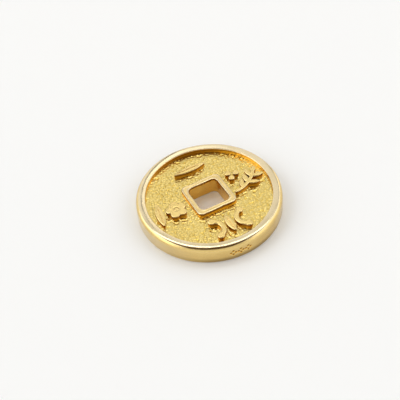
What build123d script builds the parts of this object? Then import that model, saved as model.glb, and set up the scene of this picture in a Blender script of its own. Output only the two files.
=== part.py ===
from build123d import *
from math import atan2, cos, degrees, radians, sin
import os

# A gold ball marker in the form of a square-holed coin, built up as a goldsmith builds one:
# a rim band and a square hole collar, two field plates closed over a rib between them, and
# raised ornaments pegged into the front plate. Millimetres, +Z up through the hole, the
# coin's top towards +Y, and the origin at the centre of the back, which the marker lies on.

# --- Driving dimensions -----------------------------------------------------------------
coin_diameter = 24.0
coin_thickness = 3.1
rim_width = 1.55
field_depth = 0.95            # from the rim's face down to the field, front and back
rim_top_round = 0.55
rim_bottom_round = 0.30
rim_inner_round = 0.10

hole_width = 5.32             # across the flats of the square hole
hole_corner = 0.87
collar_width = 7.0
collar_corner = 0.80
collar_round = 0.12

rib_thickness = 0.25          # rib on the rim and the collar that both plates close over
rim_rib_reach = 0.50
collar_rib_reach = 0.40

ornament_round = 0.12         # along the top edges of every ornament
leaf_widest = 0.45            # share of a leaf's length at which it is widest
leaf_tip_round = 0.12         # share of its width
leaf_peg_shares = (0.3, 0.7)  # of its length
midrib_width = 0.16
midrib_depth = 0.12
midrib_share = 0.65           # of the leaf's length
peg_radius = 0.25             # pegs that locate the ornaments in the front plate
peg_length = 0.40

north_leaf_size = (6.15, 1.25)
north_leaf_start = (-3.1, 6.75)

sprig_stem_points = ((4.3, -1.75), (6.8, -0.95), (8.75, 0.85))
sprig_stem_width = 0.58
sprig_leaf_length, sprig_leaf_width = 2.1, 0.82
sprig_tip_length = 1.4
sprig_leaf_spread = 50.0      # angle between a leaf and the stem
sprig_leaves = ((0.22, 1), (0.48, -1), (0.48, 1), (0.76, -1), (0.76, 1), (0.96, 0))
sprig_peg_points = [(5.6, -1.35), (8.3, 0.2)]
berry_radius = 0.50
berry_points = [(5.0, 1.3), (6.15, 2.0), (4.9, 2.45)]

south_leaf_size = (3.9, 1.3)
south_leaf_start = (0.0, -9.1)
scroll_centre = (3.05, -7.1)
scroll_radius = 1.7
scroll_width = 0.78
scroll_start, scroll_sweep = 108.0, 144.0
scroll_end_radius = 0.60
scroll_peg_heights = (-0.6, 0.6)

west_leaf_size = (5.2, 1.35)
west_leaf_start = (-9.3, -2.5)
west_leaf_turn = 80.0
blossom_centre = (-6.05, -0.2)
blossom_petals = 5
petal_radius = 0.74
petal_reach = 1.02            # from the blossom's middle to each petal's middle
blossom_core_radius = 0.80
blossom_peg_heights = (-1.0, 1.1)
bead_seat_radius = 0.45

mark_depth = 0.12             # flowers of round dots punched in the rim's outer wall
mark_petals = 4
mark_petal_reach = 0.40
mark_petal_radius = 0.21
mark_middle_angle = -94.0
mark_spacing_angle = 6.2

# --- Dimensions that follow ---------------------------------------------------------------
coin_radius = coin_diameter / 2
rim_inner_radius = coin_radius - rim_width
front_field = coin_thickness - field_depth
back_field = field_depth
joint_height = coin_thickness / 2
rib_bottom = joint_height - rib_thickness / 2
rib_width = collar_width + 2 * collar_rib_reach

os.makedirs("parts", exist_ok=True)


def save(piece, label):
    """Label a finished piece and write it as its own file."""
    piece.part.label = label
    export_step(piece.part, f"parts/{label}.step")


# --- Outline of the dot flower punched in the rim's outer wall --------------------------------
with BuildSketch() as flower_outline:
    with PolarLocations(mark_petal_reach, mark_petals, start_angle=90):
        Circle(mark_petal_radius)
flower_mark = flower_outline.sketch


# --- Rim band: turned ring with rounded edges and an inner rib -------------------------------
with BuildPart() as rim_band:
    with BuildSketch():
        Circle(coin_radius)
        Circle(rim_inner_radius, mode=Mode.SUBTRACT)
    extrude(amount=coin_thickness)
    bottom_circles = rim_band.faces().sort_by(Axis.Z)[0].edges().sort_by(SortBy.RADIUS)
    top_circles = rim_band.faces().sort_by(Axis.Z)[-1].edges().sort_by(SortBy.RADIUS)
    fillet(top_circles[-1], rim_top_round)
    fillet(bottom_circles[-1], rim_bottom_round)
    fillet([top_circles[0], bottom_circles[0]], rim_inner_round)

    with BuildSketch(Plane.XY.offset(rib_bottom)):
        Circle(rim_inner_radius)
        Circle(rim_inner_radius - rim_rib_reach, mode=Mode.SUBTRACT)
    extrude(amount=rib_thickness)

    # Three dot flowers punched side by side in the outer wall.
    for step in (-1, 0, 1):
        angle = radians(mark_middle_angle + step * mark_spacing_angle)
        outward = Vector(cos(angle), sin(angle), 0)
        wall_plane = Plane(
            origin=outward * coin_radius + Vector(0, 0, joint_height),
            x_dir=(-sin(angle), cos(angle), 0),
            z_dir=outward,
        )
        with BuildSketch(wall_plane):
            add(flower_mark)
        extrude(amount=-mark_depth, mode=Mode.SUBTRACT)
save(rim_band, "rim_band")

# --- Hole collar: rounded square tube through the whole coin, with an outer rib ---------------
with BuildPart() as hole_collar:
    with BuildSketch():
        RectangleRounded(collar_width, collar_width, collar_corner)
    extrude(amount=coin_thickness)
    outer_edges = hole_collar.faces().filter_by(Axis.Z).edges()
    fillet(outer_edges, collar_round)
    with BuildSketch():
        RectangleRounded(hole_width, hole_width, hole_corner)
    extrude(amount=coin_thickness, mode=Mode.SUBTRACT)
    with BuildSketch(Plane.XY.offset(rib_bottom)):
        RectangleRounded(rib_width, rib_width, collar_corner + collar_rib_reach)
        RectangleRounded(collar_width, collar_width, collar_corner, mode=Mode.SUBTRACT)
    extrude(amount=rib_thickness)
save(hole_collar, "hole_collar")


# --- Raised ornaments: common shapes ----------------------------------------------------------
def raised(outline):
    """Raise an outline from the front field to the rim's face, with a softened top edge."""
    with BuildPart() as block:
        with BuildSketch(Plane.XY.offset(front_field)):
            add(outline)
        extrude(amount=field_depth)
        fillet(block.faces().sort_by(Axis.Z)[-1].edges(), ornament_round)
    return block.part


def raised_leaf(length, width):
    """A pointed leaf that starts at the origin and runs along +X."""
    with BuildSketch() as blade:
        with BuildLine():
            ThreePointArc((0, 0), (leaf_widest * length, width / 2), (length, 0))
            ThreePointArc((length, 0), (leaf_widest * length, -width / 2), (0, 0))
        make_face()
        fillet(blade.vertices(), leaf_tip_round * width)
    return raised(blade.sketch)


def veined_leaf(length, width):
    """A leaf like that with its midrib cut in."""
    with BuildPart() as leaf:
        add(raised_leaf(length, width))
        with BuildSketch(Plane.XY.offset(coin_thickness)):
            with Locations((leaf_widest * length, 0)):
                SlotOverall(midrib_share * length, midrib_width)
        extrude(amount=-midrib_depth, mode=Mode.SUBTRACT)
    return leaf.part


def raised_disc(radius):
    """A round flat-topped bead round the origin."""
    with BuildSketch() as disc:
        Circle(radius)
    return raised(disc.sketch)


def raised_line(path, width):
    """A line of even width with round ends along a path."""
    with BuildSketch() as line:
        trace(path, width)
        with Locations(path @ 0, path @ 1):
            Circle(width / 2)
    return raised(line.sketch)


peg_points = []


def pegs_at(*points):
    """Locating pegs below an ornament; their holes are noted for the front plate."""
    with BuildPart() as pegs:
        with BuildSketch(Plane.XY.offset(front_field - peg_length)):
            with Locations(*points):
                Circle(peg_radius)
        extrude(amount=peg_length)
    peg_points.extend(points)
    return pegs.part


def standing_leaf(start, size, turn):
    """A veined leaf on two pegs, from its start in the direction of the turn in degrees."""
    heading = Vector(cos(radians(turn)), sin(radians(turn)))
    with BuildPart() as leaf:
        with Locations(Location((*start, 0), (0, 0, turn))):
            add(veined_leaf(*size))
        peg_places = [Vector(*start) + heading * share * size[0] for share in leaf_peg_shares]
        add(pegs_at(*[(place.X, place.Y) for place in peg_places]))
    return leaf


# --- North: one slender leaf with its midrib cut in -----------------------------------------
save(standing_leaf(north_leaf_start, north_leaf_size, turn=0), "north_leaf")

# --- East: a leafy sprig, and three berries above it ------------------------------------------
# Leaves grow from the stem's right (side -1), its left (side 1) and its tip (side 0).
sprig_stem = ThreePointArc(*sprig_stem_points)
with BuildPart() as east_sprig:
    add(raised_line(sprig_stem, sprig_stem_width))
    for station, side in sprig_leaves:
        along = sprig_stem % station
        turn = degrees(atan2(along.Y, along.X)) + side * sprig_leaf_spread
        with Locations(Location(sprig_stem @ station, (0, 0, turn))):
            add(raised_leaf(sprig_leaf_length if side else sprig_tip_length, sprig_leaf_width))
    add(pegs_at(*sprig_peg_points))
save(east_sprig, "east_sprig")

with BuildPart() as east_berries:
    with Locations(*berry_points):
        add(raised_disc(berry_radius))
    add(pegs_at(*berry_points))
save(east_berries, "east_berries")

# --- South: an upright leaf between two scrolls back to back ------------------------------------
save(standing_leaf(south_leaf_start, south_leaf_size, turn=90), "south_leaf")

with BuildPart() as south_scroll_right:
    scroll = CenterArc(scroll_centre, scroll_radius, scroll_start, scroll_sweep)
    add(raised_line(scroll, scroll_width))
    for end in (0, 1):
        with Locations(scroll @ end):
            add(raised_disc(scroll_end_radius))
    scroll_pegs = [(scroll_centre[0] - scroll_radius, scroll_centre[1] + up)
                   for up in scroll_peg_heights]
    add(pegs_at(*scroll_pegs))
save(south_scroll_right, "south_scroll_right")

with BuildPart() as south_scroll_left:
    mirror(south_scroll_right.part, about=Plane.YZ)
peg_points.extend((-x, y) for x, y in scroll_pegs)
save(south_scroll_left, "south_scroll_left")

# --- West: a leaf along the rim, a five-petal blossom and the bead set in its middle -------------
save(standing_leaf(west_leaf_start, west_leaf_size, west_leaf_turn), "west_leaf")

with BuildPart() as west_blossom:
    with Locations(blossom_centre):
        with PolarLocations(petal_reach, blossom_petals, start_angle=90):
            add(raised_disc(petal_radius))
        add(raised_disc(blossom_core_radius))
    with BuildSketch(Plane.XY.offset(front_field)):
        with Locations(blossom_centre):
            Circle(bead_seat_radius)
    extrude(amount=field_depth, mode=Mode.SUBTRACT)
    add(pegs_at(*[(blossom_centre[0], blossom_centre[1] + up) for up in blossom_peg_heights]))
save(west_blossom, "west_blossom")

with BuildPart() as west_bead:
    with Locations(blossom_centre):
        add(raised_disc(bead_seat_radius))
    add(pegs_at(blossom_centre))
save(west_bead, "west_bead")


# --- Field plates: two sheets between the rim and the collar, closed over the ribs --------------
def field_plate(bottom, rebate_bottom):
    """One sheet with its outer and inner edges rebated where it laps the ribs."""
    with BuildPart() as plate:
        with BuildSketch(Plane.XY.offset(bottom)):
            Circle(rim_inner_radius)
            RectangleRounded(collar_width, collar_width, collar_corner, mode=Mode.SUBTRACT)
        extrude(amount=joint_height - back_field)
        with BuildSketch(Plane.XY.offset(rebate_bottom)):
            Circle(rim_inner_radius)
            Circle(rim_inner_radius - rim_rib_reach, mode=Mode.SUBTRACT)
            RectangleRounded(rib_width, rib_width, collar_corner + collar_rib_reach)
        extrude(amount=rib_thickness / 2, mode=Mode.SUBTRACT)
    return plate.part


with BuildPart() as front_field_plate:
    add(field_plate(joint_height, joint_height))
    with BuildSketch(Plane.XY.offset(front_field)):
        with Locations(*peg_points):
            Circle(peg_radius)
    extrude(amount=-peg_length, mode=Mode.SUBTRACT)
save(front_field_plate, "front_field_plate")

with BuildPart() as back_field_plate:
    add(field_plate(back_field, rib_bottom))
save(back_field_plate, "back_field_plate")
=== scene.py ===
import math

import bpy
import numpy as np
from mathutils import Matrix, Vector
from mathutils.bvhtree import BVHTree
from mathutils.kdtree import KDTree


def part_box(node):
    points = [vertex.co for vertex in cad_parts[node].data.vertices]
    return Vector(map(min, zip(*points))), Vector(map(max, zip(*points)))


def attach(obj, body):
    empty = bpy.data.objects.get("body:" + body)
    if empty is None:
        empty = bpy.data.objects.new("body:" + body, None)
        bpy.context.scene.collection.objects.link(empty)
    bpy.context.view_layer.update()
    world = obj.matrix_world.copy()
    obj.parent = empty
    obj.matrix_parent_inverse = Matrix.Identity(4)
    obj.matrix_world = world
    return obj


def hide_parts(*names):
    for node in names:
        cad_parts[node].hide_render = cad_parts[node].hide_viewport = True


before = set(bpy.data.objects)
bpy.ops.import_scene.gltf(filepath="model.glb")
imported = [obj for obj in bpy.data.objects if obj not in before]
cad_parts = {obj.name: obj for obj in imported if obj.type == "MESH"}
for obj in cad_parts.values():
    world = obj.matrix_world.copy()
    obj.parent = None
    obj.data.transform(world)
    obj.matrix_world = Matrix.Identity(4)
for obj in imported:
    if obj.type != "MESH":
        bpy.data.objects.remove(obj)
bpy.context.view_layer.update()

# The looks of a gold ball marker in the form of a square-holed coin. Shapes are worked out in
# millimetres in the frame's own axes and turned into metres when a mesh is made.
MM = 0.001

# --- Sizes read from the frame -------------------------------------------------------------
rim_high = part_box("rim_band")[1] / MM
plate_low, plate_high = (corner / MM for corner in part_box("front_field_plate"))
back_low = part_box("back_field_plate")[0] / MM
COIN_RADIUS = rim_high.x
COIN_THICKNESS = rim_high.z
BORE_RADIUS = plate_high.x
FRONT_FIELD = plate_high.z
BACK_FIELD = back_low.z
JOINT_HEIGHT = plate_low.z

# --- Sizes that the design fixes -----------------------------------------------------------
RIM_ROUND_BOTTOM = 0.30
INNER_ROUND = 0.10
# The rim's face rolls over outwards in stages: (slope at the end in degrees, width, points).
RIM_ROLL = ((3, 0.46, 10), (12, 0.38, 10), (40, 0.34, 9), (90, 0.27, 9))
RIB_HALF = 0.125
RIM_RIB_REACH = 0.50
COLLAR_RIB_REACH = 0.40
HOLE_HALF, HOLE_CORNER = 2.66, 0.87
COLLAR_HALF, COLLAR_CORNER = 3.50, 0.80
COLLAR_ROUND = 0.14
COLLAR_ROLL = ((2, 0.16, 5), (13, 0.17, 7), (40, 0.05, 5), (90, 0.04, 6))   # for half its width

MARK_ANGLE, MARK_STEP = -94.0, 6.2
MARK_PETALS, MARK_REACH, MARK_PETAL = 4, 0.40, 0.21
MARK_DEPTH, MARK_EDGE = 0.12, 0.07

# Points round the rim beside the marks and elsewhere, and round the collar.
MARK_POINTS, RIM_POINTS, COLLAR_POINTS = 200, 540, 640

# --- How uneven the surfaces are -----------------------------------------------------------
NEAR_TOP = 0.3                # faces within this depth of the top are uneven in height as well
RIM_SWAY, RIM_LIFT, RIM_RIPPLE = 0.007, 0.004, 0.0015
COLLAR_SWAY, COLLAR_RIPPLE, COLLAR_LIFT = 0.012, 0.010, 0.006
HOLE_DENTS = 0.0022           # as a share of the distance from the coin's middle
CAST_SWAY, CAST_RIPPLE = 0.006, 0.0015

PEBBLE_SPACING, PEBBLE_HEIGHT = 0.46, 0.056
PEBBLE_REACH, PEBBLE_MEAN = 0.85, 0.55        # as shares of the spacing and of the height
PEBBLE_WANDER, PEBBLE_DRIFT = 0.03, 0.10      # how uneven their places and their heights are
# The pebbles are higher close to a wall: (far from walls, drift, more at a wall, reach of that).
VIGOUR, VIGOUR_RANGE = (0.66, 0.12, 0.40, 0.8), (0.35, 1.6)
FILLET_HEIGHT, FILLET_REACH = 0.09, 0.42
FIELD_AROUND, FIELD_ACROSS = 930, 101         # points round a field and from the collar to the rim

CAST_WELD, CAST_VOXEL = 0.002, 0.036
CAST_TOP = 0.25               # an ornament's top lies within this depth below the coin's face
CAST_OUTLINE = (0.1, 0.45)    # the walls between these depths give its outline
CAST_ROLL, CAST_DROP = 0.36, 0.055            # how far in and how deep its top falls off
CAST_FOOT = (-0.1, 0.12)      # its foot, by height over the field
CAST_LET_IN = 0.15            # how far the foot is let into the field

# --- Polish and painted light, stored as relief: 0 darkest painted shade, 1 smoothest and palest - ---
# Relief 0 is the darkest painted shade, under top edges and in punched dots; recesses get an orange
# painted shade, and faces near 1 are smoothest and painted pale as a highlight.
DARKEST_SHADE, RECESS_SHADE, HOLE_WALL_SHADE, SATIN, SOFT_POLISH, FACE_POLISH_AND_SHEEN = 0.0, 0.12, 0.26, 0.5, 0.52, 1.0
FACE_RELIEF = 0.95            # from this relief up a surface has its face colour, a pale painted highlight, and its smoothness
WALL_DEPTHS = (0.22, 0.62)    # a sunken wall's painted shade lightens between these depths below the coin's face
HOLE_DEPTHS = (0.32, 0.58)    # so does the wall of the hole
CAST_WALL_SHARE = 0.5         # an ornament's painted wall shade is this much as bright as that of the other walls
CAST_FACE = (0.2, 0.4)        # its face begins at this upward slope and is full this much further
CAST_EDGE_SHEEN = (0.72, 0.2)       # its edge has its strongest painted highlight at this upward slope, and spread of that highlight
FIELD_RELIEF = (0.56, 0.62)   # a pebble's relief at the plain field, and more for its full height, so high pebbles are painted paler as highlights

# Along the rim the polish and painted shade change with the angle. The front is at MARK_ANGLE.
SIDE_ANGLES, SIDE_POLISH_AND_SHEEN = (35, 80), 0.4      # the outer wall is smoother and painted paler away from the front, a painted reflection
FOOT_SHADE_HEIGHTS = (0.50, 1.05)                # painted shade at the outer wall's foot fades out between these heights
# That painted shade is full at the front and falls to its least between these angles from it.
FOOT_SHADE_ANGLES, FOOT_SHADE_LEAST = (18, 60), 0.1
DARK_ANGLE, DARK_HALF, DARK_EDGE = 88, 50, 6  # a part of the bore's wall is painted darker than the rest, as shade
DARK_SHARE, LIT_SHARE = 0.18, 3.2             # its share of the polish and painted shade, and the painted light added beside it

# --- Colours -------------------------------------------------------------------------------
WHITE = (1.0, 1.0, 1.0)
# Gold colours by relief: darkest painted shade, orange painted shade in recesses, satin, and a pale
# painted highlight on faces.
DARKEST_SHADE_GOLD = (0.26, 0.105, 0.01)
RECESS_SHADE_GOLD = (0.96, 0.56, 0.07)
SATIN_GOLD = (0.80, 0.59, 0.235)
FACE_SHEEN_GOLD = (0.81, 0.68, 0.435)
RIM_GOLDS = (RECESS_SHADE_GOLD, SATIN_GOLD, FACE_SHEEN_GOLD)
# The field's and the ornaments' golds also run from painted shade in recesses through satin to a
# pale painted highlight.
FIELD_GOLDS = ((0.82, 0.57, 0.095), (0.69, 0.50, 0.135), (0.78, 0.62, 0.235))
RELIEF_GOLDS = (RECESS_SHADE_GOLD, (0.82, 0.60, 0.20), (0.83, 0.68, 0.37))
CLOUD_TINT = (0.93, 0.90, 0.84)
# Painted shade at the foot of the rim's outer wall darkens the colour towards this tint.
FOOT_SHADE_TINT = (0.56, 0.53, 0.52)
FLOOR_COLOUR, FLOOR_ROUGHNESS = (0.945, 0.95, 0.94, 1), 0.9

# Scales of the noises in turns per metre, and heights of the bumps in metres.
LINE_SCALE, GRAIN_SCALE, CLOUD_SCALE = 11000.0, 5200.0, 330.0
LINE_BUMP, GRAIN_BUMP = 0.00002, 0.00003
LINE_TURN = 0.0008            # how far the line noise moves on over one turn's radius

# --- Studio and camera ---------------------------------------------------------------------
FLOOR_HALF, FLOOR_LEVEL = 1.5, -0.02 * MM
KEY_POWER, KEY_PITCH, KEY_DISTANCE, KEY_SIZE = 0.8, 66.0, 1.0, (0.9, 0.09)

# The room is a plain colour with soft cards laid over it: (side angles, pitch angles, edge,
# brightness or colour). Side angles run from left to right of straight ahead. Pitch angles run
# up from the horizon behind the coin, over the top and down to the horizon in front of it.
ROOM = 0.99
CARDS = (
    ((-66, -33), (40, 150), 6, 2.08),
    ((33, 66), (40, 150), 6, 1.46),
    ((-42, 42), (125, 150), 8, 0.85),
    ((-42, -12), (0, 60), 1, 1.06),
    ((-11.0, -7.4), (0, 60), 0.8, 0.1),
    ((-6.2, 2.5), (32, 45.2), 0.8, 1.42),
    ((-6.2, -3.0), (32, 49.5), 0.8, 1.95),
    ((24.5, 30.0), (0, 60), 1.0, 0.35),
    ((31.0, 42.0), (0, 60), 1.0, 1.6),
    ((-36, 36), (53, 61), 2, 0.78),
    ((-26, 27), (74, 120), 3, (0.10, 0.055, 0.015)),
)
CAMERA_ELEVATION, CAMERA_AZIMUTH, CAMERA_ROLL = 47.43, -24.27, -5.54
CAMERA_DISTANCE, CAMERA_RIGHT, CAMERA_UP = 168.05 * MM, -1.626 * MM, 1.070 * MM
CAMERA_LENS = 91.64

ORNAMENTS = (
    "north_leaf", "east_sprig", "east_berries", "south_scroll_left", "south_scroll_right",
    "south_leaf", "west_leaf", "west_blossom", "west_bead",
)


# --- Random fields, the same on every run --------------------------------------------------
def random_waves(points, wavelength, seed, count=44):
    """A smooth random field of unit spread, made of plane waves of about one wavelength."""
    rng = np.random.default_rng(seed)
    dimensions = points.shape[1]
    total = np.zeros(len(points))
    for _ in range(count):
        direction = rng.normal(size=dimensions)
        direction *= 2 * math.pi / wavelength * rng.uniform(0.7, 1.35) / np.linalg.norm(direction)
        total += np.cos(points @ direction + rng.uniform(0, 2 * math.pi))
    return total * math.sqrt(2 / count)


def cell_distance(points, spacing, seed):
    """Distance to the nearest of a set of scattered points, one in each cell of a grid."""
    rng = np.random.default_rng(seed)
    table = rng.uniform(0.12, 0.88, size=(64, 64, 2))
    scaled = points / spacing + 32
    cell = np.floor(scaled).astype(int)
    nearest = np.full(len(points), np.inf)
    for step_x in (-1, 0, 1):
        for step_y in (-1, 0, 1):
            neighbour = cell + (step_x, step_y)
            seed_point = neighbour + table[neighbour[:, 0] % 64, neighbour[:, 1] % 64]
            nearest = np.minimum(nearest, np.linalg.norm(scaled - seed_point, axis=1))
    return nearest


# --- Meshes --------------------------------------------------------------------------------
def finish_piece(name, mesh, node, material):
    """Turn a mesh in millimetres into a piece of the object that stands for a CAD node."""
    mesh.transform(Matrix.Scale(MM, 4))
    mesh.polygons.foreach_set("use_smooth", [True] * len(mesh.polygons))
    mesh.materials.clear()
    mesh.materials.append(material)
    piece = bpy.data.objects.new(name, mesh)
    bpy.context.scene.collection.objects.link(piece)
    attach(piece, "root")
    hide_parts(node)
    return piece


def band_mesh(name, rings, shade):
    """A closed surface through rings of points, each with its relief, round a profile."""
    ring_count, around, _ = rings.shape
    ring_index, angle_index = np.meshgrid(np.arange(ring_count), np.arange(around), indexing="ij")
    next_ring = (ring_index + 1) % ring_count
    next_angle = (angle_index + 1) % around
    corners = [
        ring_index * around + angle_index, ring_index * around + next_angle,
        next_ring * around + next_angle, next_ring * around + angle_index,
    ]
    faces = np.stack([corner.ravel() for corner in corners], axis=1)
    mesh = bpy.data.meshes.new(name)
    mesh.from_pydata(rings.reshape(-1, 3).tolist(), [], faces.tolist())
    store_shade(mesh, shade.ravel())
    mesh.update()
    return mesh


def store_shade(mesh, values, name="relief"):
    """Keep a number from 0 to 1 per vertex for the material to read, such as relief or painted
    shade.
    """
    shade = mesh.attributes.new(name, "FLOAT", "POINT")
    shade.data.foreach_set("value", np.clip(values, 0, 1).astype(np.float32))


def arc(centre, radius, start, end, count):
    """Points of an arc in the profile plane, angles in degrees."""
    angles = np.radians(np.linspace(start, end, count))
    return [(centre[0] + radius * math.cos(a), centre[1] + radius * math.sin(a)) for a in angles]


def line(start, end, count):
    """Points between two profile points, without the two ends."""
    steps = np.linspace(0, 1, count + 2)[1:-1, None]
    return [tuple(p) for p in np.array(start) + steps * (np.array(end) - np.array(start))]


def painted_wall_shade(places, depths=WALL_DEPTHS, polish_and_shade=RECESS_SHADE):
    """How a sunken wall is painted at profile points: painted shade under its top edge, lighter
    below.
    """
    return np.interp([COIN_THICKNESS - place[1] for place in places], depths, (DARKEST_SHADE, polish_and_shade))


def rolled_edge(start, stages):
    """Points of a face that starts level and rolls over outwards, one arc for each stage."""
    (reach, height), slope = start, 0.0
    places = [start]
    for end, width, count in stages:
        slopes = np.radians(np.linspace(slope, end, count + 1))[1:]
        first = math.radians(slope)
        radius = width / (math.sin(slopes[-1]) - math.sin(first))
        places += [(reach + radius * (math.sin(a) - math.sin(first)),
                    height - radius * (math.cos(first) - math.cos(a))) for a in slopes]
        (reach, height), slope = places[-1], end
    return places


def rounded_square(half, corner, angles):
    """Points of a square with rounded corners, one at each polar angle."""
    across, along = np.abs(np.cos(angles)), np.abs(np.sin(angles))
    larger, smaller = np.maximum(across, along), np.minimum(across, along)
    straight = half / larger
    centre = half - corner
    spread = corner ** 2 - centre ** 2 * (larger - smaller) ** 2
    round_reach = centre * (larger + smaller) + np.sqrt(np.maximum(spread, 0))
    reach = np.where(straight * smaller <= centre, straight, round_reach)
    return reach[:, None] * np.stack([np.cos(angles), np.sin(angles)], axis=1)


# --- Rim band ------------------------------------------------------------------------------
def mark_depth_at(arc_length, height):
    """How deep the punched dot flowers are at places on the outer wall."""
    nearest = np.full(arc_length.shape, np.inf)
    for step in (-1, 0, 1):
        for turn in np.radians(90 + 360 / MARK_PETALS * np.arange(MARK_PETALS)):
            aside = step * math.radians(MARK_STEP) * COIN_RADIUS + MARK_REACH * math.cos(turn)
            up = COIN_THICKNESS / 2 + MARK_REACH * math.sin(turn)
            nearest = np.minimum(nearest, np.hypot(arc_length - aside, height - up))
    depth = np.clip(0.5 - (nearest - MARK_PETAL) / MARK_EDGE, 0, 1)
    return depth * depth * (3 - 2 * depth) * MARK_DEPTH


def rim_profile():
    """The rim's section as (radius, height, polish and painted shade), from the outer wall's foot
    up.
    """
    outer, inner = COIN_RADIUS, BORE_RADIUS
    top, rib_reach = COIN_THICKNESS, BORE_RADIUS - RIM_RIB_REACH
    crown = rolled_edge((inner + INNER_ROUND, top), RIM_ROLL)[::-1]
    wall = line((outer, RIM_ROUND_BOTTOM), crown[0], 44)
    inner_round = arc((inner + INNER_ROUND, top - INNER_ROUND), INNER_ROUND, 100, 180, 6)
    bore = line((inner, top - INNER_ROUND), (inner, JOINT_HEIGHT + RIB_HALF), 10)
    rib = [(inner, JOINT_HEIGHT + RIB_HALF), (rib_reach, JOINT_HEIGHT + RIB_HALF),
           (rib_reach, JOINT_HEIGHT - RIB_HALF), (inner, JOINT_HEIGHT - RIB_HALF)]
    back_bore = line((inner, JOINT_HEIGHT - RIB_HALF), (inner, INNER_ROUND), 8)
    back_inner = arc((inner + INNER_ROUND, INNER_ROUND), INNER_ROUND, 180, 270, 5)
    back_face = line((inner + INNER_ROUND, 0), (outer - RIM_ROUND_BOTTOM, 0), 8)
    foot = arc((outer - RIM_ROUND_BOTTOM, RIM_ROUND_BOTTOM), RIM_ROUND_BOTTOM, 270, 360, 9)
    recess = bore + rib + back_bore
    edge, shoulder = RIM_ROLL[-1][-1], RIM_ROLL[-2][-1]
    # The face is smoothest and painted pale as a highlight, and the bore and rib are painted in
    # shade.
    polish_and_shade = np.concatenate([
        np.full(len(wall) + edge, SATIN), np.linspace(SATIN, FACE_POLISH_AND_SHEEN, shoulder),
        np.full(len(crown + inner_round) - edge - shoulder, FACE_POLISH_AND_SHEEN),
        painted_wall_shade(bore), np.full(len(rib + back_bore), RECESS_SHADE),
        np.full(len(back_inner + back_face), FACE_POLISH_AND_SHEEN), np.full(len(foot), SATIN),
    ])
    places = wall + crown + inner_round + recess + back_inner + back_face + foot
    return np.column_stack([places, polish_and_shade])


def rim_angles():
    """Angles round the rim, close together where the marks are punched."""
    half_span = math.radians(1.75 * MARK_STEP)
    middle = math.radians(MARK_ANGLE)
    fine = np.linspace(middle - half_span, middle + half_span, MARK_POINTS, endpoint=False)
    end = middle - half_span + 2 * math.pi
    rest = np.linspace(middle + half_span, end, RIM_POINTS, endpoint=False)
    return np.concatenate([fine, rest])


def angle_from(around, angle):
    """How far places round the rim are from an angle, in degrees between -180 and 180."""
    return (np.degrees(around) - angle + 180) % 360 - 180


def make_rim(material):
    """The rim: a gently domed band whose polish and painted shade change along it, with the marks
    punched in.
    """
    profile = rim_profile()
    angles = rim_angles()
    reach, height, polish_and_shade = (np.repeat(column[:, None], len(angles), axis=1)
                             for column in profile.T)
    around = np.repeat(angles[None, :], len(profile), axis=0)
    in_bore = (np.abs(reach - BORE_RADIUS) < 0.001) & (height > JOINT_HEIGHT + RIB_HALF)
    # Part of the bore's wall is painted darker as shade, and the rest painted lighter.
    lit = 1 - np.exp(-(angle_from(around, DARK_ANGLE) / DARK_HALF) ** DARK_EDGE)
    polish_and_shade = np.where(in_bore, polish_and_shade * (DARK_SHARE + LIT_SHARE * lit), polish_and_shade)
    wall_margin = 0.02
    on_wall = np.clip((reach - COIN_RADIUS + wall_margin) / wall_margin, 0, 1)
    from_front = np.abs(angle_from(around, MARK_ANGLE))
    # The outer wall is made smoother and painted paler towards the sides.
    polish_and_shade = polish_and_shade + np.interp(from_front, SIDE_ANGLES, (0, SIDE_POLISH_AND_SHEEN)) * on_wall
    arc_length = (around - math.radians(MARK_ANGLE)) * COIN_RADIUS
    marks = mark_depth_at(arc_length, height) * on_wall

    flat = np.stack([reach * np.cos(around), reach * np.sin(around), height], axis=2).reshape(-1, 3)
    sway = random_waves(flat, 7.0, 11).reshape(reach.shape)
    ripple = random_waves(flat, 2.6, 12).reshape(reach.shape)
    uneven = (RIM_SWAY * sway + RIM_RIPPLE * ripple) * (reach > BORE_RADIUS)
    reach = reach - marks + uneven
    lift = np.where(height > COIN_THICKNESS - NEAR_TOP, RIM_LIFT * sway + RIM_RIPPLE * ripple, 0)
    points = np.stack([reach * np.cos(around), reach * np.sin(around), height + lift], axis=2)
    # The punched dots are painted dark as shade.
    mesh = band_mesh("rim_band_polished", points, polish_and_shade * (1 - marks / MARK_DEPTH))
    # Painted shade on the lower outer wall, strongest at the front.
    outside = reach > COIN_RADIUS - RIM_ROUND_BOTTOM - 0.05
    foot_shade = np.interp(height, FOOT_SHADE_HEIGHTS, (1, 0)) * outside
    foot_shade *= np.interp(from_front, FOOT_SHADE_ANGLES, (1, FOOT_SHADE_LEAST))
    store_shade(mesh, foot_shade.ravel(), "foot_shade")
    return finish_piece("rim_band_polished", mesh, "rim_band", material)


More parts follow.
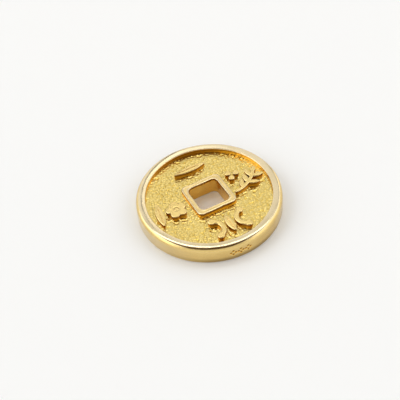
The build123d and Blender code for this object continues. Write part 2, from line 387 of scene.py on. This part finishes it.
# --- Hole collar ---------------------------------------------------------------------------
def collar_profile():
    """The collar's section, from its outer foot up: (half width, corner radius, height, polish and
    painted shade).
    """
    width = COLLAR_HALF - HOLE_HALF
    edge = COLLAR_ROUND
    outer_wall = line((0, edge), (0, JOINT_HEIGHT - RIB_HALF), 4)
    outer_wall += [(0, JOINT_HEIGHT - RIB_HALF), (-COLLAR_RIB_REACH, JOINT_HEIGHT - RIB_HALF),
                   (-COLLAR_RIB_REACH, JOINT_HEIGHT + RIB_HALF), (0, JOINT_HEIGHT + RIB_HALF)]
    hole_side = rolled_edge((width / 2, COIN_THICKNESS), COLLAR_ROLL)
    edge_height = hole_side[-1][1]
    outer_wall += line((0, JOINT_HEIGHT + RIB_HALF), (0, edge_height), 14)
    outer_side = [(width - inward, height) for inward, height in hole_side[:0:-1]]
    turned = COLLAR_ROLL[-1][-1]
    hole_wall = line(hole_side[-1], (width, edge), 24)
    back = arc((width - edge, edge), edge, 0, -90, 6)
    back += line((width - edge, 0), (edge, 0), 4)
    back += arc((edge, edge), edge, -90, -180, 6)

    places = outer_wall + outer_side + hole_side + hole_wall + back
    # The top is smoothest and painted palest at its edges as a highlight; the turned-over edges and
    # the walls are painted in shade.
    polish_and_shade = np.concatenate([
        painted_wall_shade(outer_wall), np.full(turned, DARKEST_SHADE),
        np.linspace(FACE_POLISH_AND_SHEEN, SOFT_POLISH, len(outer_side) - turned),
        np.linspace(SOFT_POLISH, FACE_POLISH_AND_SHEEN, len(hole_side) - turned), np.full(turned, DARKEST_SHADE),
        painted_wall_shade(hole_wall, HOLE_DEPTHS, HOLE_WALL_SHADE), np.full(len(back), FACE_POLISH_AND_SHEEN),
    ])
    section = []
    for (inward, height), shine in zip(places, polish_and_shade):
        share = inward / width
        outer_corner = max(COLLAR_CORNER - inward, 0.05)
        inner_corner = HOLE_CORNER + width - inward
        corner = (1 - share) * outer_corner + share * inner_corner
        section.append((COLLAR_HALF - inward, corner, height, shine))
    return section


def make_collar(material):
    """The collar: a rounded-square tube with a domed top and a slightly dented hole."""
    angles = np.linspace(0, 2 * math.pi, COLLAR_POINTS, endpoint=False)
    rings, polish_and_shade_rings = [], []
    profile = collar_profile()
    for half, corner, height, polish_and_shade in profile:
        flat = rounded_square(half, corner, angles)
        rings.append(np.column_stack([flat, np.full(len(angles), height)]))
        polish_and_shade_rings.append(np.full(len(angles), polish_and_shade))
    points = np.array(rings)
    sway = random_waves(points.reshape(-1, 3), 3.4, 21).reshape(points.shape[:2])
    ripple = random_waves(points.reshape(-1, 3), 1.6, 22).reshape(points.shape[:2])
    points[:, :, 0] += COLLAR_SWAY * sway
    points[:, :, 1] += COLLAR_RIPPLE * ripple
    near_top = points[:, :, 2] > COIN_THICKNESS - NEAR_TOP
    points[:, :, 2] += np.where(near_top, COLLAR_LIFT * ripple, 0)
    dents = random_waves(points.reshape(-1, 3), 0.9, 23).reshape(points.shape[:2])
    in_hole = np.array([half < HOLE_HALF + 0.001 for half, _, _, _ in profile])
    points[:, :, :2] *= (1 + HOLE_DENTS * dents * in_hole[:, None])[:, :, None]
    mesh = band_mesh("hole_collar_polished", points, np.array(polish_and_shade_rings))
    return finish_piece("hole_collar_polished", mesh, "hole_collar", material)


# --- Field plates --------------------------------------------------------------------------
def pebble_height(places, seed):
    """The hand-pebbled grain, as a height above the plain field."""
    wander = np.column_stack([random_waves(places, 1.3, seed + step) for step in (4, 5)])
    distance = cell_distance(places + PEBBLE_WANDER * wander, PEBBLE_SPACING, seed)
    pebbles = np.maximum(1 - (distance / PEBBLE_REACH) ** 2, 0)
    drift = random_waves(places, 0.95, seed + 2)
    return PEBBLE_HEIGHT * (pebbles - PEBBLE_MEAN + PEBBLE_DRIFT * drift)


def ornament_distance(places, height):
    """Distance from places on the front field to the nearest ornament."""
    vertices, triangles = [], []
    for name in ORNAMENTS:
        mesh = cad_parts[name].data
        mesh.calc_loop_triangles()
        offset = len(vertices)
        vertices += [vertex.co / MM for vertex in mesh.vertices]
        triangles += [[offset + i for i in tri.vertices] for tri in mesh.loop_triangles]
    tree = BVHTree.FromPolygons(vertices, triangles)
    level, search = height + 0.15, 2.0
    found = (tree.find_nearest(Vector((x, y, level)), search)[3] for x, y in places)
    return np.array([search if distance is None else distance for distance in found])


def make_field(name, node, face_height, facing, seed, material, with_ornaments):
    """A pebbled plate between collar and rim; facing is 1 for the front and -1 for the back."""
    around, across = FIELD_AROUND, FIELD_ACROSS
    angles = np.linspace(0, 2 * math.pi, around, endpoint=False)
    inner = rounded_square(COLLAR_HALF, COLLAR_CORNER, angles)
    outer = BORE_RADIUS * np.stack([np.cos(angles), np.sin(angles)], axis=1)
    shares = np.linspace(0, 1, across)[:, None, None]
    flat = ((1 - shares) * inner + shares * outer).reshape(-1, 2)

    to_rim = BORE_RADIUS - np.linalg.norm(flat, axis=1)
    collar_reach = np.tile(np.linalg.norm(inner, axis=1), across)
    to_collar = np.linalg.norm(flat, axis=1) - collar_reach
    to_wall = np.minimum(to_rim, to_collar)
    if with_ornaments:
        to_wall = np.minimum(to_wall, ornament_distance(flat, face_height))
    pebbles = pebble_height(flat, seed)
    plain, drift, extra, extra_reach = VIGOUR
    vigour = plain + drift * random_waves(flat, 4.5, seed + 3)
    vigour += extra * np.exp(-to_wall / extra_reach)
    rise = np.clip(vigour, *VIGOUR_RANGE) * pebbles
    solder = FILLET_HEIGHT * np.exp(-to_wall / FILLET_REACH)
    face = face_height + facing * (rise + solder)
    top = np.column_stack([flat, face]).reshape(across, around, 3)

    rebate = JOINT_HEIGHT + facing * RIB_HALF
    rim_step = (BORE_RADIUS - RIM_RIB_REACH) / BORE_RADIUS
    collar_step = rounded_square(COLLAR_HALF + COLLAR_RIB_REACH,
                                 COLLAR_CORNER + COLLAR_RIB_REACH, angles)

    def ring(places, height):
        return np.column_stack([places, np.full(around, height)])[None]

    hidden = np.concatenate([
        ring(outer, rebate), ring(rim_step * outer, rebate), ring(rim_step * outer, JOINT_HEIGHT),
        ring(collar_step, JOINT_HEIGHT), ring(collar_step, rebate), ring(inner, rebate),
    ])
    points = np.concatenate([top, hidden])
    # High pebbles are painted paler as highlights, and hollows deeper as shade.
    relief = FIELD_RELIEF[0] + FIELD_RELIEF[1] * pebbles / PEBBLE_HEIGHT
    relief = relief.reshape(across, around)
    shade = np.concatenate([relief, np.full((len(hidden), around), SATIN)])
    # The front's rings have to be taken in reverse for the faces to point outwards.
    mesh = band_mesh(name, points[::-facing], shade[::-facing])
    return finish_piece(name, mesh, node, material)


# --- Ornaments -----------------------------------------------------------------------------
def make_ornament(node, seed, material):
    """A softened, slightly uneven cast of an ornament's CAD solid, let a little into the field."""
    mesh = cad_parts[node].data.copy()
    mesh.transform(Matrix.Scale(1 / MM, 4))
    rough = bpy.data.objects.new(node + "_rough", mesh)
    bpy.context.scene.collection.objects.link(rough)
    weld = rough.modifiers.new("weld", "WELD")
    weld.merge_threshold = CAST_WELD
    remesh = rough.modifiers.new("remesh", "REMESH")
    remesh.mode = "VOXEL"
    remesh.voxel_size = CAST_VOXEL
    soften = rough.modifiers.new("soften", "SMOOTH")
    soften.factor = 0.5
    soften.iterations = 2
    bpy.context.view_layer.update()
    evaluated = rough.evaluated_get(bpy.context.evaluated_depsgraph_get())
    cast = bpy.data.meshes.new_from_object(evaluated)
    bpy.data.objects.remove(rough)

    count = len(cast.vertices)
    places = np.empty(count * 3, np.float32)
    normals = np.empty(count * 3, np.float32)
    cast.vertices.foreach_get("co", places)
    cast.vertex_normals.foreach_get("vector", normals)
    places, normals = (table.reshape(-1, 3).astype(float) for table in (places, normals))
    sway, ripple = random_waves(places, 1.2, seed), random_waves(places, 0.5, seed + 1)
    places += normals * (CAST_SWAY * sway + CAST_RIPPLE * ripple)[:, None]

    # The top falls off towards the ornament's outline.
    depth, upright = COIN_THICKNESS - places[:, 2], normals[:, 2] < 0.3
    on_wall = upright & (depth > CAST_OUTLINE[0]) & (depth < CAST_OUTLINE[1])
    outline = KDTree(int(on_wall.sum()))
    for order, index in enumerate(np.flatnonzero(on_wall)):
        outline.insert((places[index, 0], places[index, 1], 0), order)
    outline.balance()
    for index in np.flatnonzero((normals[:, 2] > 0.5) & (depth < CAST_TOP)):
        gap = outline.find((places[index, 0], places[index, 1], 0))[2]
        places[index, 2] -= CAST_DROP * max(0.0, 1 - gap / CAST_ROLL) ** 2
    over_field = places[:, 2] - FRONT_FIELD
    at_foot = (over_field > CAST_FOOT[0]) & (over_field < CAST_FOOT[1])
    places[:, 2] -= np.where(at_foot, CAST_LET_IN, 0)
    cast.vertices.foreach_set("co", places.astype(np.float32).ravel())

    # The edges of the top get a painted highlight, and the walls are painted in shade under it.
    height_share = (places[:, 2] - FRONT_FIELD) / (COIN_THICKNESS - FRONT_FIELD)
    upward = np.where(height_share > 0.6, normals[:, 2], 0)
    wall = CAST_WALL_SHARE * np.interp(COIN_THICKNESS - places[:, 2], WALL_DEPTHS, (DARKEST_SHADE, RECESS_SHADE))
    edge_sheen = np.exp(-((upward - CAST_EDGE_SHEEN[0]) / CAST_EDGE_SHEEN[1]) ** 2)
    face = (SOFT_POLISH - wall) * np.clip((upward - CAST_FACE[0]) / CAST_FACE[1], 0, 1)
    store_shade(cast, wall + face + (FACE_POLISH_AND_SHEEN - SOFT_POLISH) * edge_sheen)
    cast.update()
    return finish_piece(node + "_cast", cast, node, material)


# --- Materials -----------------------------------------------------------------------------
def add_node(tree, kind, inputs=None, **settings):
    """A shader node with its settings and input values or links."""
    node = tree.nodes.new(kind)
    for key, value in settings.items():
        setattr(node, key, value)
    for key, value in (inputs or {}).items():
        if isinstance(value, bpy.types.NodeSocket):
            tree.links.new(value, node.inputs[key])
        else:
            node.inputs[key].default_value = value
    return node


def colour_of(value):
    """A colour as it is, or the grey of a single brightness, with full alpha."""
    return (*value, 1) if isinstance(value, tuple) else (value, value, value, 1)


def ramp(tree, factor, stops):
    """A colour ramp through stops of a position and a brightness or colour."""
    node = add_node(tree, "ShaderNodeValToRGB", {"Fac": factor})
    elements = node.color_ramp.elements
    while len(elements) < len(stops):
        elements.new(0.5)
    for element, (position, value) in zip(elements, stops):
        element.position, element.color = position, colour_of(value)
    return node.outputs["Color"]


def noise(tree, place, scale, detail, roughness, fourth=None):
    """A noise texture's factor at a place, which may have a fourth coordinate."""
    inputs = {"Vector": place, "Scale": scale, "Detail": detail, "Roughness": roughness}
    if fourth is not None:
        inputs["W"] = fourth
    return add_node(tree, "ShaderNodeTexNoise", inputs,
                    noise_dimensions="3D" if fourth is None else "4D").outputs["Fac"]


def vector_math(tree, operation, first, second=None):
    """The node for a sum, product, length or other operation on vectors."""
    inputs = {0: first} if second is None else {0: first, 1: second}
    return add_node(tree, "ShaderNodeVectorMath", inputs, operation=operation)


def mix(tree, share, first, second, blend_type="MIX"):
    """Two colours mixed, or multiplied, by a share of the second."""
    return add_node(tree, "ShaderNodeMix", {0: share, 6: first, 7: second},
                    data_type="RGBA", blend_type=blend_type).outputs[2]


def turned_place(tree, place):
    """Where to read noise so that it makes lines round the coin's axis: fine across, slow round."""
    split = add_node(tree, "ShaderNodeSeparateXYZ", {"Vector": place})
    level = add_node(tree, "ShaderNodeCombineXYZ",
                     {"X": split.outputs["X"], "Y": split.outputs["Y"]}).outputs[0]
    reach = vector_math(tree, "LENGTH", level).outputs["Value"]
    outward = vector_math(tree, "NORMALIZE", level).outputs[0]
    round_slowly = add_node(tree, "ShaderNodeVectorMath", {0: outward, "Scale": LINE_TURN},
                            operation="SCALE").outputs[0]
    across = add_node(tree, "ShaderNodeCombineXYZ", {"Z": reach}).outputs[0]
    return vector_math(tree, "ADD", round_slowly, across).outputs[0], split.outputs["Z"]


def gold(name, colours, smooth, dull, lines, grain):
    """Gold with painted light in its colour: paler as a painted highlight where it is smoothest,
    deeper as painted shade in hollows and under top edges, and with painted shade at the rim's
    foot.
    It has fine turned lines.

    colours are those of recesses in painted shade, of satin and of faces with a painted highlight,
    smooth and dull are the two ends of its roughness, lines and grain are how strongly the lines
    and the fine grain show.
    """
    material = bpy.data.materials.new(name)
    material.use_nodes = True
    tree = material.node_tree
    shader = tree.nodes["Principled BSDF"]
    place = add_node(tree, "ShaderNodeTexCoord").outputs["Object"]

    around, height = turned_place(tree, place)
    line_noise = noise(tree, around, LINE_SCALE, 3.0, 0.6, fourth=height)
    grain_noise = noise(tree, place, GRAIN_SCALE, 4.0, 0.62)
    cloud_noise = noise(tree, place, CLOUD_SCALE, 3.0, 0.55)
    relief = add_node(tree, "ShaderNodeAttribute", attribute_name="relief").outputs["Fac"]
    foot_shade = add_node(tree, "ShaderNodeAttribute", attribute_name="foot_shade").outputs["Fac"]

    recess, middle, face = colours
    finish = ramp(tree, relief, ((DARKEST_SHADE, DARKEST_SHADE_GOLD), (RECESS_SHADE, recess), (SATIN, middle),
                                 (FACE_RELIEF, face)))
    cloud = ramp(tree, cloud_noise, ((0.30, CLOUD_TINT), (0.70, WHITE)))
    # Painted shade at the rim's foot darkens the colour.
    shaded_foot = ramp(tree, foot_shade, ((0.0, WHITE), (1.0, FOOT_SHADE_TINT)))
    colour = mix(tree, 1.0, mix(tree, 1.0, finish, cloud, "MULTIPLY"), shaded_foot, "MULTIPLY")
    tree.links.new(colour, shader.inputs["Base Color"])

    cloud_rough = ramp(tree, cloud_noise, ((0.32, smooth), (0.68, dull)))
    relief_rough = ramp(tree, relief, ((SATIN, dull), (FACE_RELIEF, smooth)))
    tree.links.new(mix(tree, 0.6, cloud_rough, relief_rough), shader.inputs["Roughness"])

    line_bump = add_node(tree, "ShaderNodeBump", {
        "Strength": lines, "Distance": LINE_BUMP, "Height": line_noise})
    grain_bump = add_node(tree, "ShaderNodeBump", {
        "Strength": grain, "Distance": GRAIN_BUMP, "Height": grain_noise,
        "Normal": line_bump.outputs["Normal"]})
    tree.links.new(grain_bump.outputs["Normal"], shader.inputs["Normal"])
    shader.inputs["Metallic"].default_value = 1.0
    return material


# --- Studio --------------------------------------------------------------------------------
def soft_light(name, size, power, place):
    """A rectangular light at a place, facing the coin."""
    data = bpy.data.lights.new(name, "AREA")
    data.shape = "RECTANGLE"
    data.size, data.size_y = size
    data.energy = power
    light = bpy.data.objects.new(name, data)
    bpy.context.scene.collection.objects.link(light)
    light.location = place
    light.rotation_euler = (-place).to_track_quat("-Z", "Y").to_euler()


def soft_card(tree, shade, side, pitch, sides, pitches, edge, value):
    """Lay a soft-edged card over the room, between two side angles and two pitch angles."""
    mask = None
    for angle, (low, high) in ((side, sides), (pitch, pitches)):
        for start, end in ((low - edge, low), (high + edge, high)):
            step = add_node(tree, "ShaderNodeMapRange", {
                "Value": angle, "From Min": math.radians(start), "From Max": math.radians(end),
            }, interpolation_type="SMOOTHSTEP").outputs[0]
            if mask is not None:
                step = add_node(tree, "ShaderNodeMath", {0: mask, 1: step},
                                operation="MULTIPLY").outputs[0]
            mask = step
    return mix(tree, mask, shade, colour_of(value))


def make_floor():
    """A pale sheet of paper just under the coin."""
    mesh = bpy.data.meshes.new("floor")
    corners = ((-1, -1), (1, -1), (1, 1), (-1, 1))
    mesh.from_pydata([(FLOOR_HALF * x, FLOOR_HALF * y, FLOOR_LEVEL) for x, y in corners],
                     [], [(0, 1, 2, 3)])
    floor = bpy.data.objects.new("floor", mesh)
    bpy.context.scene.collection.objects.link(floor)
    paper = bpy.data.materials.new("floor_paper")
    paper.use_nodes = True
    shader = paper.node_tree.nodes["Principled BSDF"]
    shader.inputs["Base Color"].default_value = FLOOR_COLOUR
    shader.inputs["Roughness"].default_value = FLOOR_ROUGHNESS
    mesh.materials.append(paper)


def make_studio():
    """Even light from a room of soft cards, with a narrow strip light high up behind the coin."""
    turn = math.radians(CAMERA_AZIMUTH)
    away = Vector((-math.sin(turn), math.cos(turn), 0))
    right = Vector((math.cos(turn), math.sin(turn), 0))
    up = Vector((0, 0, 1))
    tilt = math.radians(KEY_PITCH)
    key_place = KEY_DISTANCE * (math.cos(tilt) * away + math.sin(tilt) * up)
    soft_light("key", KEY_SIZE, KEY_POWER, key_place)

    world = bpy.data.worlds.new("studio")
    world.use_nodes = True
    tree = world.node_tree
    direction = add_node(tree, "ShaderNodeTexCoord").outputs["Generated"]
    rightward, forward, upward = (
        vector_math(tree, "DOT_PRODUCT", direction, tuple(axis)).outputs["Value"]
        for axis in (right, away, up))
    side = add_node(tree, "ShaderNodeMath", {0: rightward}, operation="ARCSINE").outputs[0]
    pitch = add_node(tree, "ShaderNodeMath", {0: upward, 1: forward},
                     operation="ARCTAN2").outputs[0]
    shade = colour_of(ROOM)
    for card in CARDS:
        shade = soft_card(tree, shade, side, pitch, *card)
    tree.links.new(shade, tree.nodes["Background"].inputs["Color"])
    bpy.context.scene.world = world
    bpy.context.scene.view_settings.view_transform = "Standard"


def make_camera():
    """A long lens looking down at the coin from the front, a little to the left."""
    elevation, azimuth, roll = (
        math.radians(angle) for angle in (CAMERA_ELEVATION, CAMERA_AZIMUTH, CAMERA_ROLL))
    back = Vector((math.sin(azimuth) * math.cos(elevation),
                   -math.cos(azimuth) * math.cos(elevation), math.sin(elevation)))
    level_right = Vector((math.cos(azimuth), math.sin(azimuth), 0))
    level_up = back.cross(level_right)
    right = math.cos(roll) * level_right + math.sin(roll) * level_up
    up = math.cos(roll) * level_up - math.sin(roll) * level_right
    camera = bpy.data.objects.new("camera", bpy.data.cameras.new("camera"))
    bpy.context.scene.collection.objects.link(camera)
    turn = Matrix((right, up, back)).transposed().to_4x4()
    place = back * CAMERA_DISTANCE + right * CAMERA_RIGHT + up * CAMERA_UP
    camera.matrix_world = Matrix.Translation(place) @ turn
    camera.data.lens = CAMERA_LENS
    camera.data.clip_start = 0.01
    bpy.context.scene.camera = camera


# --- The whole marker ----------------------------------------------------------------------
rim_gold = gold("rim_gold", RIM_GOLDS, smooth=0.13, dull=0.26, lines=0.30, grain=0.04)
field_gold = gold("field_gold", FIELD_GOLDS, smooth=0.16, dull=0.28, lines=0.0, grain=0.04)
relief_gold = gold("relief_gold", RELIEF_GOLDS, smooth=0.20, dull=0.30, lines=0.08, grain=0.08)

make_rim(rim_gold)
make_collar(rim_gold)
make_field("front_field_pebbled", "front_field_plate", FRONT_FIELD, 1, 31, field_gold, True)
make_field("back_field_pebbled", "back_field_plate", BACK_FIELD, -1, 41, field_gold, False)
for order, ornament in enumerate(ORNAMENTS):
    make_ornament(ornament, 60 + 2 * order, relief_gold)
make_floor()
make_studio()
make_camera()
